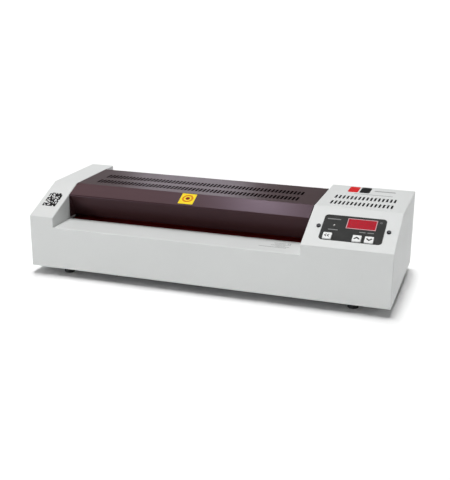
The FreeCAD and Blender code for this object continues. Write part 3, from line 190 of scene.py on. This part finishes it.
def finish(name, rgb, rough, mottle=0.05, mottle_size=0.04, gloss_range=0.12, grain=1.0 * MM,
           relief=0.02 * MM, stretch=(1, 1, 1), edge=None, edge_radius=0.6 * MM, speck=None, **sockets):
    """A finish whose colour, gloss and surface all vary a little, as made surfaces do.

    rgb is its display colour, rough its roughness, mottle how far the colour drifts over
    mottle_size, grain and relief the size and height of its surface texture, stretch the
    direction of a brushed grain, edge the lighter colour of a highlight painted along its edges,
    speck a second colour flecked through it, and sockets the shader's other constants."""
    s = Shader(name)
    drift = s.spread(s.noise(mottle_size, 3.0), 0.0, 1.0)
    colour = s.mix(drift, tone(rgb, 1 - mottle), tone(rgb, 1 + mottle))
    if speck:
        flecks = s.spread(s.noise(grain * FLECK_SIZE, 1.0, stretch), 0.0, FLECK_STRENGTH, *FLECK_BAND)
        colour = s.mix(flecks, colour, tone(speck))
    # a lighter colour painted along the edges as a highlight
    if edge:
        colour = s.mix(s.edges(edge_radius), colour, tone(edge))
    s.link(colour, s.principled.inputs["Base Color"])
    patchy = s.noise(mottle_size * GLOSS_PATCH, 4.0, stretch)
    gloss = s.spread(patchy, rough * (1 - gloss_range), rough * (1 + gloss_range))
    s.link(gloss, s.principled.inputs["Roughness"])
    bump = s.node("ShaderNodeBump")
    bump.inputs["Strength"].default_value = 1.0
    bump.inputs["Distance"].default_value = relief
    s.link(s.noise(grain, 2.0, stretch), bump.inputs["Height"])
    s.link(bump.outputs["Normal"], s.principled.inputs["Normal"])
    for key, value in sockets.items():
        s.principled.inputs[key.replace("_", " ")].default_value = value
    return s.material


def metal(name, rgb, rough, **more):
    """A finish of bare metal."""
    return finish(name, rgb, rough, Metallic=1.0, **more)


# the finish of each material slot in the record
PLAIN_LOOKS = {
    "case_paint": dict(rgb=(214, 216, 215), rough=0.50, mottle=0.012, mottle_size=0.09, grain=0.9 * MM,
                       relief=0.012 * MM, edge=(223, 224, 223), edge_radius=0.8 * MM,
                       Specular_IOR_Level=0.3),
    "cover_paint": dict(rgb=(57, 36, 37), rough=0.30, mottle=0.10, mottle_size=0.12, gloss_range=0.06,
                        grain=0.7 * MM, relief=0.006 * MM, edge=(76, 52, 57), edge_radius=0.2 * MM,
                        Specular_IOR_Level=0.22, Specular_Tint=(0.90, 0.78, 1.0, 1.0)),
    "guide_coat": dict(rgb=(164, 26, 26), rough=0.38, mottle=0.12, grain=0.6 * MM),
    "foot_rubber": dict(rgb=(24, 24, 25), rough=0.78, mottle=0.18, mottle_size=0.006, grain=0.35 * MM,
                        relief=0.03 * MM, edge=(44, 44, 46)),
    "silicone": dict(rgb=(150, 74, 54), rough=0.55, mottle=0.06, grain=0.4 * MM, relief=0.01 * MM,
                     Subsurface_Weight=0.05),
    "gear_nylon": dict(rgb=(226, 221, 204), rough=0.44, mottle=0.04, grain=0.5 * MM, edge=(238, 235, 222),
                       edge_radius=0.3 * MM),
    "block_resin": dict(rgb=(58, 56, 52), rough=0.52, mottle=0.12, grain=0.5 * MM, edge=(84, 82, 78)),
    "shoe_aluminium": dict(rgb=(38, 38, 40), rough=0.48, mottle=0.12, stretch=(30, 1, 1), grain=0.3 * MM,
                           relief=0.006 * MM, edge=(64, 64, 66)),
    "mica": dict(rgb=(168, 146, 104), rough=0.45, mottle=0.16, mottle_size=0.008, speck=(206, 186, 142),
                 grain=1.5 * MM),
    "ceramic": dict(rgb=(222, 216, 202), rough=0.5, mottle=0.05, mottle_size=0.004, grain=0.3 * MM),
    "overlay_print": dict(rgb=(44, 45, 44), rough=0.60, mottle=0.05, mottle_size=0.02, grain=0.35 * MM,
                          relief=0.008 * MM, edge=(64, 64, 64), Specular_IOR_Level=0.12),
    "display_red": dict(rgb=(176, 34, 48), rough=0.34, mottle=0.08, mottle_size=0.012, grain=2.0 * MM,
                        relief=0.002 * MM, Specular_IOR_Level=0.015),
    "bezel_plastic": dict(rgb=(206, 158, 164), rough=0.5, mottle=0.03, grain=0.4 * MM,
                          Specular_IOR_Level=0.3),
    "module_plastic": dict(rgb=(28, 28, 30), rough=0.46, mottle=0.12, grain=0.5 * MM, edge=(48, 48, 50)),
    "button_plastic": dict(rgb=(229, 230, 229), rough=0.50, mottle=0.02, mottle_size=0.004,
                           grain=0.3 * MM, relief=0.006 * MM, edge=(236, 236, 235), edge_radius=0.4 * MM,
                           Specular_IOR_Level=0.3),
    "led_lens": dict(rgb=(150, 150, 146), rough=0.22, mottle=0.05, mottle_size=0.002, grain=0.4 * MM,
                     relief=0.002 * MM, Coat_Weight=0.6),
    "board_green": dict(rgb=(22, 84, 48), rough=0.42, mottle=0.10, mottle_size=0.006, speck=(46, 122, 70),
                        grain=1.4 * MM),
    "switch_black": dict(rgb=(26, 26, 27), rough=0.36, mottle=0.12, mottle_size=0.008, grain=0.3 * MM,
                         relief=0.008 * MM, edge=(52, 52, 54), edge_radius=0.4 * MM),
    "lead_insulation": dict(rgb=(150, 30, 28), rough=0.45, mottle=0.08, grain=0.4 * MM),
}
METAL_LOOKS = {
    "frame_steel": dict(rgb=(168, 170, 172), rough=0.36, mottle=0.10, mottle_size=0.012,
                        speck=(196, 199, 203), grain=2.2 * MM),
    "bright_steel": dict(rgb=(186, 187, 190), rough=0.22, mottle=0.06, stretch=(6, 1, 1), grain=0.25 * MM,
                         relief=0.004 * MM, edge=(222, 223, 225)),
    "screw_steel": dict(rgb=(54, 55, 57), rough=0.42, mottle=0.10, grain=0.4 * MM, relief=0.006 * MM,
                        edge=(104, 105, 107), edge_radius=0.25 * MM),
    "bronze": dict(rgb=(168, 118, 66), rough=0.38, mottle=0.15, mottle_size=0.004, speck=(122, 82, 44),
                   grain=0.5 * MM),
    "spring_steel": dict(rgb=(134, 136, 142), rough=0.28, mottle=0.08, grain=0.2 * MM, relief=0.003 * MM),
    "motor_case": dict(rgb=(128, 130, 132), rough=0.40, mottle=0.08, stretch=(1, 6, 6), grain=0.4 * MM,
                       edge=(168, 170, 172)),
    "pin_brass": dict(rgb=(206, 178, 112), rough=0.26, mottle=0.08, grain=0.3 * MM, relief=0.004 * MM),
    "iron_core": dict(rgb=(86, 84, 82), rough=0.50, mottle=0.15, stretch=(60, 60, 1), grain=0.5 * MM,
                      relief=0.05 * MM),
}
MATERIALS = {name: finish(name, **look) for name, look in PLAIN_LOOKS.items()}
MATERIALS.update((name, metal(name, **look)) for name, look in METAL_LOOKS.items())

# each node wears the finish that its slot is named after; Blender may have added a number to the name
for node in nodes.values():
    for holder in node.material_slots:
        holder.material = MATERIALS[holder.material.name.split(".")[0]]

# ---------------------------------------------------------------- nip springs
# Each pair of springs is copied out of its packed part into an object of its own, and the packed part is
# hidden.
for nip in ("front", "rear"):
    packed = nodes[f"{nip}_nip_springs"]
    springs = bpy.data.objects.new(f"{nip}_springs", packed.data.copy())
    bpy.context.scene.collection.objects.link(springs)
    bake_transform(springs)
    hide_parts(packed.name)

# ---------------------------------------------------------------- flat shapes for prints and labels
# A shape is an outline, a list of (u, v) points going round anticlockwise, and maybe a hole.


def rectangle(u0, v0, u1, v1, radius=0.0, steps=5):
    """A rectangle between two opposite corners, with its corners rounded if radius is given."""
    if radius == 0:
        return [(u0, v0), (u1, v0), (u1, v1), (u0, v1)]
    points = []
    corners = ((u1 - radius, v0 + radius, -90), (u1 - radius, v1 - radius, 0),
               (u0 + radius, v1 - radius, 90), (u0 + radius, v0 + radius, 180))
    for cu, cv, start in corners:
        for i in range(steps + 1):
            angle = math.radians(start + 90 * i / steps)
            points.append((cu + radius * math.cos(angle), cv + radius * math.sin(angle)))
    return points


def disc(cu, cv, radius, steps=32):
    """A circle about its middle, (cu, cv)."""
    angles = [math.tau * i / steps for i in range(steps)]
    return [(cu + radius * math.cos(a), cv + radius * math.sin(a)) for a in angles]


SHARPEST_CORNER = 0.3           # a corner sharper than this is cut short, so that it makes no long spike


def stroke(path, width):
    """The outline of a line of constant width along an open path."""
    left, right = [], []
    for i, point in enumerate(path):
        before = Vector(path[max(i - 1, 0)])
        after = Vector(path[min(i + 1, len(path) - 1)])
        along = (after - before).normalized()
        side = Vector((-along.y, along.x)) * width / 2
        here = Vector(point)
        if 0 < i < len(path) - 1:
            first = (here - before).normalized()
            side = side / max(SHARPEST_CORNER, first.dot(along))
        left.append(tuple(here + side))
        right.append(tuple(here - side))
    return right + left[::-1]


def chevron(cu, cv, width, height, line, turn=0):
    """An arrowhead that points up the surface, or turned anticlockwise from there by turn degrees."""
    c, s = math.cos(math.radians(turn)), math.sin(math.radians(turn))
    ends = [(-width / 2, -height / 2), (0, height / 2), (width / 2, -height / 2)]
    return stroke([(cu + u * c - v * s, cv + u * s + v * c) for u, v in ends], line)


LABEL = 0.10 * MM               # how far a stuck-on label or plate stands up
PRINT = 0.05 * MM               # and a printed mark
THIN_PRINT = 0.02 * MM          # and one on a face that it must hardly rise from
SUNK = 0.10 * MM                # how far each of them reaches into what it is on


def decal(name, surface, shapes, material, body="chassis", thickness=PRINT):
    """A thin piece on a surface, one raised island for each shape. A ring is an (outline, hole) pair.

    Shapes are in millimetres, and material is the finish that the piece takes."""
    mesh = bpy.data.meshes.new(name)
    built = bmesh.new()
    for shape in shapes:
        ring = isinstance(shape, tuple)
        loops = shape if ring else (shape,)
        rims = []
        for loop in loops:
            low = [built.verts.new(surface.at(u * MM, v * MM, -SUNK)) for u, v in loop]
            high = [built.verts.new(surface.at(u * MM, v * MM, thickness)) for u, v in loop]
            rims.append((low, high))
        for index, (low, high) in enumerate(rims):
            for i in range(len(low)):
                j = (i + 1) % len(low)
                side = [low[i], low[j], high[j], high[i]]
                built.faces.new(side if index == 0 else side[::-1])
        if ring:
            (low, high), (inner_low, inner_high) = rims
            for i in range(len(low)):
                j = (i + 1) % len(low)
                built.faces.new([high[i], high[j], inner_high[j], inner_high[i]])
                built.faces.new([low[j], low[i], inner_low[i], inner_low[j]])
        else:
            low, high = rims[0]
            built.faces.new(high)
            built.faces.new(low[::-1])
    built.to_mesh(mesh)
    built.free()
    piece = bpy.data.objects.new(name, mesh)
    bpy.context.scene.collection.objects.link(piece)
    mesh.materials.append(material)
    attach(piece, body)


# ---------------------------------------------------------------- inks and labels


def ink(name, rgb, rough=0.55, mottle=0.06):
    """A finish of printed ink or label stock, with little shine."""
    return finish(name, rgb, rough, mottle=mottle, mottle_size=0.003, grain=0.4 * MM, relief=0.004 * MM,
                  Specular_IOR_Level=0.1)


pale_ink = ink("pale_ink", (128, 129, 129))
faint_ink = ink("faint_ink", (140, 141, 141))
grey_ink = ink("grey_ink", (150, 151, 151))
dark_ink = ink("dark_ink", (17, 17, 18))
red_ink = ink("red_ink", (206, 20, 22))
orange_ink = ink("orange_ink", (214, 130, 8))
maroon_ink = ink("maroon_ink", (128, 20, 6))
segment_red = ink("segment_red", (156, 26, 40), 0.34)
label_yellow = ink("label_yellow", (242, 214, 24), 0.34, mottle=0.05)
plate_silver = metal("plate_silver", (196, 197, 199), 0.36, mottle=0.05, stretch=(20, 1, 1),
                     grain=0.3 * MM, relief=0.005 * MM)

# legends beside the controls, as plain bars in place of words
legends = [
    rectangle(153.0, 53.8, 170.0, 55.6, 0.7),
    rectangle(157.6, 33.2, 170.0, 34.8, 0.6),
    rectangle(196.6, 32.9, 204.4, 34.5, 0.6),
    rectangle(206.8, 32.9, 214.8, 34.5, 0.6),
    (disc(220.4, 55.4, 1.5), disc(220.4, 55.4, 0.9)),
]
decal("overlay_legends", overlay_face, legends, pale_ink)

# key marks: arrows up and down, and a doubled arrow to the left for reverse
UP_MIDDLE = (196.0, 20.2)
DOWN_MIDDLE = (211.1, 20.0)
REVERSE_MIDDLES = ((157.4, 20.5), (160.8, 20.5))
ARROW = {"width": 6.6, "height": 3.0, "line": 2.0}
BACK_ARROW = {"width": 4.8, "height": 2.2, "line": 1.1, "turn": 90}
back_arrows = [chevron(*middle, **BACK_ARROW) for middle in REVERSE_MIDDLES]
decal("up_mark", key_face, [chevron(*UP_MIDDLE, **ARROW)], dark_ink, body="up_key")
decal("down_mark", key_face, [chevron(*DOWN_MIDDLE, turn=180, **ARROW)], dark_ink, body="down_key")
decal("reverse_mark", key_face, back_arrows, dark_ink, body="reverse_key")

# unlit digits behind the display's filter, each of seven bars about its own middle: u, v, width, height
SEGMENT_BARS = ((-2.6, 0.0, 5.2, 1.1), (-2.6, 5.6, 5.2, 1.1), (-2.6, -5.6, 5.2, 1.1),
                (-3.7, -4.4, 1.1, 3.8), (2.6, -4.4, 1.1, 3.8), (-3.7, 1.8, 1.1, 3.8), (2.6, 1.8, 1.1, 3.8))
DIGIT_MIDDLES = ((187.0, 48.0), (197.3, 48.0), (207.6, 48.0))
digits = [rectangle(middle_u + u, middle_v + v, middle_u + u + width, middle_v + v + height)
          for middle_u, middle_v in DIGIT_MIDDLES for u, v, width, height in SEGMENT_BARS]
decal("display_digits", window_face, digits, segment_red, thickness=THIN_PRINT)

# caution label on the cover: a yellow square with a ring and a dot
SIGN_MIDDLE = (-40.2, 68.4)
caution_face = slope.raised(LABEL)
caution_ring = (disc(*SIGN_MIDDLE, 7.8), disc(*SIGN_MIDDLE, 5.2))
decal("caution_label", slope, [rectangle(-50.6, 56.5, -29.8, 78.6, 0.8)], label_yellow,
      thickness=LABEL)
decal("caution_ring", caution_face, [caution_ring], orange_ink)
decal("caution_dot", caution_face, [disc(*SIGN_MIDDLE, 3.0)], maroon_ink)

# a patch of random blocks on the left cheek, printed straight on the paint
PATCH_CORNER = (-238.0, 24.0)
BLOCKS_ACROSS = 12
BLOCKS_UP = 14
BLOCK_WIDTH = 1.65
BLOCK_HEIGHT = 2.10
BLOCK_GAP = 0.02                # left bare on each side of a block, so that neighbours never touch
BLOCK_SHARE = 0.70              # of the places that are printed
dice = random.Random(11)
blocks = []
for row in range(BLOCKS_UP):
    for column in range(BLOCKS_ACROSS):
        if dice.random() < BLOCK_SHARE:
            u = PATCH_CORNER[0] + column * BLOCK_WIDTH
            v = PATCH_CORNER[1] + row * BLOCK_HEIGHT
            blocks.append(rectangle(u + BLOCK_GAP, v + BLOCK_GAP,
                                    u + BLOCK_WIDTH - BLOCK_GAP, v + BLOCK_HEIGHT - BLOCK_GAP))
decal("block_patch", slope, blocks, dark_ink)

# two plain blocks for the badge on the right cheek, and two grey bars beside and below them; the blocks
# still have the mark's own two colours in their order, which stays an open point
badge_bars = [rectangle(192.0, 169.5, 221.0, 173.5, 1.6), rectangle(168.0, 149.0, 220.0, 151.0, 0.9)]
for name, shapes, colour in (("badge_red", [rectangle(157.0, 157.0, 171.0, 187.0, 3.0)], red_ink),
                             ("badge_dark", [rectangle(173.0, 157.0, 187.0, 187.0, 3.0)], dark_ink),
                             ("badge_bars", badge_bars, grey_ink)):
    decal(name, case_top, shapes, colour, thickness=THIN_PRINT)

# faint feed marks near the shelf's right end, bars and a ring: each bar's u, v and length
FEED_BAR_WIDTH = 1.0
FEED_BARS = ((88.0, 36.0, 15.0), (90.0, 31.4, 21.0), (86.0, 27.0, 19.0), (93.0, 22.8, 18.0),
             (72.0, 19.0, 36.0))
feed_marks = [rectangle(u, v, u + length, v + FEED_BAR_WIDTH) for u, v, length in FEED_BARS]
feed_marks.append((disc(108.0, 36.5, 2.2), disc(108.0, 36.5, 1.4)))
decal("feed_marks", shelf, feed_marks, faint_ink)

# a ring on the rocker's upper half for off and a bar on its lower half for on
ROCKER_RIDGE = (0, 1.98, 0.28)      # the line where the rocker's halves meet, from its pivot
UPPER_HALF = (0, 0.19, 8.0)         # up the slant of each half
LOWER_HALF = (0, -2.39, 7.64)
rocker_pivot = next(joint["pos_m"] for joint in frame["joints"] if joint["name"] == "power_toggle")
rocker_ridge = Vector(rocker_pivot) + Vector(ROCKER_RIDGE) * MM
decal("rocker_ring", Surface(rocker_ridge, LEFTWARD, UPPER_HALF), [(disc(0, 4.8, 1.7), disc(0, 4.8, 1.1))],
      pale_ink, body="rocker")
decal("rocker_bar", Surface(rocker_ridge, LEFTWARD, LOWER_HALF), [rectangle(-0.3, -6.4, 0.3, -3.2)],
      pale_ink, body="rocker")

# a rating plate at the back, with plain lines in place of words: each line's height and its end
PLATE_LINE_START = -192.0
PLATE_LINE_WIDTH = 1.4
PLATE_LINES = ((50.0, -168.0), (45.0, -150.0), (41.0, -154.0), (37.0, -150.0), (30.0, -176.0))
plate_lines = [rectangle(PLATE_LINE_START, v, end, v + PLATE_LINE_WIDTH) for v, end in PLATE_LINES]
decal("rating_plate", rear, [rectangle(-196.0, 26.0, -146.0, 56.0, 1.5)], plate_silver,
      thickness=LABEL)
decal("rating_lines", rear.raised(LABEL), plate_lines, dark_ink)

# ---------------------------------------------------------------- stage and light
scene = bpy.context.scene
scene.view_settings.view_transform = "Standard"

FLOOR_HALF = 40.0
BACK_WALL = 0.22                # how bright each wall of light and the rest of the room are
LEFT_WALL = 0.5
ROOM = 0.05
WALL_EDGE = (0.35, 0.65)        # a wall's side edge, as a direction's part towards the wall
WALL_TOP = (0.50, 0.38)         # its top edge, as a direction's height, fading out upwards

floor_mesh = bpy.data.meshes.new("floor")
corners = [(-FLOOR_HALF, -FLOOR_HALF, 0), (FLOOR_HALF, -FLOOR_HALF, 0),
           (FLOOR_HALF, FLOOR_HALF, 0), (-FLOOR_HALF, FLOOR_HALF, 0)]
floor_mesh.from_pydata(corners, [], [(0, 1, 2, 3)])
floor = bpy.data.objects.new("floor", floor_mesh)
scene.collection.objects.link(floor)
floor_mesh.materials.append(finish("floor_paper", (254, 254, 254), 0.9, mottle=0.004, mottle_size=0.3,
                                   relief=0.0, Specular_IOR_Level=0.0))

world = bpy.data.worlds.new("studio")
scene.world = world
world.use_nodes = True
sky = world.node_tree


def sky_math(operation, first, second):
    """One step of arithmetic on the world's light, between numbers or other nodes' outputs."""
    made = sky.nodes.new("ShaderNodeMath")
    made.operation = operation
    for socket, value in zip(made.inputs, (first, second)):
        if isinstance(value, float):
            socket.default_value = value
        else:
            sky.links.new(value, socket)
    return made.outputs[0]


def sky_step(value, start, end, top=1.0):
    """0 where value has not reached start, top where it is past end, and a soft edge between."""
    made = sky.nodes.new("ShaderNodeMapRange")
    made.interpolation_type = "SMOOTHSTEP"
    for name, setting in (("From Min", start), ("From Max", end), ("To Min", 0.0), ("To Max", top)):
        made.inputs[name].default_value = setting
    sky.links.new(value, made.inputs["Value"])
    return made.outputs[0]


# a low white wall of light behind the object and another to its left, in an unlit room
direction = sky.nodes.new("ShaderNodeSeparateXYZ")
sky.links.new(sky.nodes.new("ShaderNodeTexCoord").outputs["Generated"], direction.inputs[0])
leftward = sky_math("MULTIPLY", direction.outputs["X"], -1.0)
behind = sky_step(direction.outputs["Y"], *WALL_EDGE, BACK_WALL)
beside = sky_step(leftward, *WALL_EDGE, LEFT_WALL)
below_wall_top = sky_step(direction.outputs["Z"], *WALL_TOP)
walls = sky_math("MULTIPLY", sky_math("ADD", behind, beside), below_wall_top)
background = sky.nodes["Background"]
background.inputs["Color"].default_value = (0.985, 0.99, 1.0, 1.0)
# what stands beyond the floor is seen as a plain pale backdrop, while the walls light the object
seen = sky.nodes.new("ShaderNodeLightPath").outputs["Is Camera Ray"]
sky.links.new(sky_math("MAXIMUM", sky_math("ADD", walls, ROOM), seen), background.inputs["Strength"])


def lamp(name, kind, place, target, **settings):
    """A light at place that shines towards target."""
    data = bpy.data.lights.new(name, kind)
    for key, value in settings.items():
        setattr(data, key, value)
    made = bpy.data.objects.new(name, data)
    made.location = place
    made.rotation_euler = (Vector(target) - Vector(place)).to_track_quat("-Z", "Y").to_euler()
    scene.collection.objects.link(made)
    return made


def far_lamp(name, side, height, strength, width):
    """A distant light. side is its bearing from the front, towards the right first, height its angle
    above the floor and width how wide it looks, all in degrees. strength is what it adds to a white
    face square to it."""
    a, e = math.radians(side), math.radians(height)
    place = (math.sin(a) * math.cos(e), -math.cos(a) * math.cos(e), math.sin(e))
    return lamp(name, "SUN", place, (0, 0, 0), energy=strength * math.pi, angle=math.radians(width))


far_lamp("overhead_back", 196, 79, 0.45, 22)
far_lamp("overhead", 250, 86, 0.43, 14)
far_lamp("front_fill", 330, 2, 0.26, 12)
far_lamp("right_fill", 80, 15, 0.11, 40)
far_lamp("back_light", 200, 25, 0.14, 20).visible_glossy = False
FRONT_MIDDLE = (0, -0.1, 0.05)
lamp("front_softbox", "AREA", (-1.3, -1.8, 0.15), FRONT_MIDDLE, energy=6.2, size=0.4)

# softboxes that only show as reflections in the cover: name, place, power, size and colour
COVER_MIDDLE = (0, 0, 0.1)
SOFTBOXES = (("wide_softbox", (-0.805, 0.623, 1.249), 2.0, 0.6, (1.0, 0.74, 0.74)),
             ("slope_softbox", (-0.335, 0.736, 1.312), 2.0, 0.10, (1.0, 0.87, 1.0)),
             ("top_softbox", (-0.775, 1.954, 0.615), 1.0, 0.44, (0.94, 0.90, 1.0)))
for name, place, power, size, colour in SOFTBOXES:
    softbox = lamp(name, "AREA", place, COVER_MIDDLE, energy=power, size=size, color=colour)
    softbox.visible_diffuse = False

# ---------------------------------------------------------------- camera
CAMERA_PLACE = Vector((0.35974, -1.08606, 0.40800))
CAMERA_TARGET = Vector((0.00223, 0.0, 0.04441))
CAMERA_ROLL = 0.0087738
CAMERA_LENS = 65.296
CAMERA_SENSOR = 36.0

ahead = (CAMERA_TARGET - CAMERA_PLACE).normalized()
level_right = ahead.cross(Vector((0, 0, 1))).normalized()
level_up = level_right.cross(ahead)
right = math.cos(CAMERA_ROLL) * level_right + math.sin(CAMERA_ROLL) * level_up
up = -math.sin(CAMERA_ROLL) * level_right + math.cos(CAMERA_ROLL) * level_up
camera_data = bpy.data.cameras.new("camera")
camera_data.lens = CAMERA_LENS
camera_data.sensor_width = CAMERA_SENSOR
camera = bpy.data.objects.new("camera", camera_data)
axes = Matrix((right, up, -ahead)).transposed().to_4x4()
camera.matrix_world = Matrix.Translation(CAMERA_PLACE) @ axes
scene.collection.objects.link(camera)
scene.camera = camera
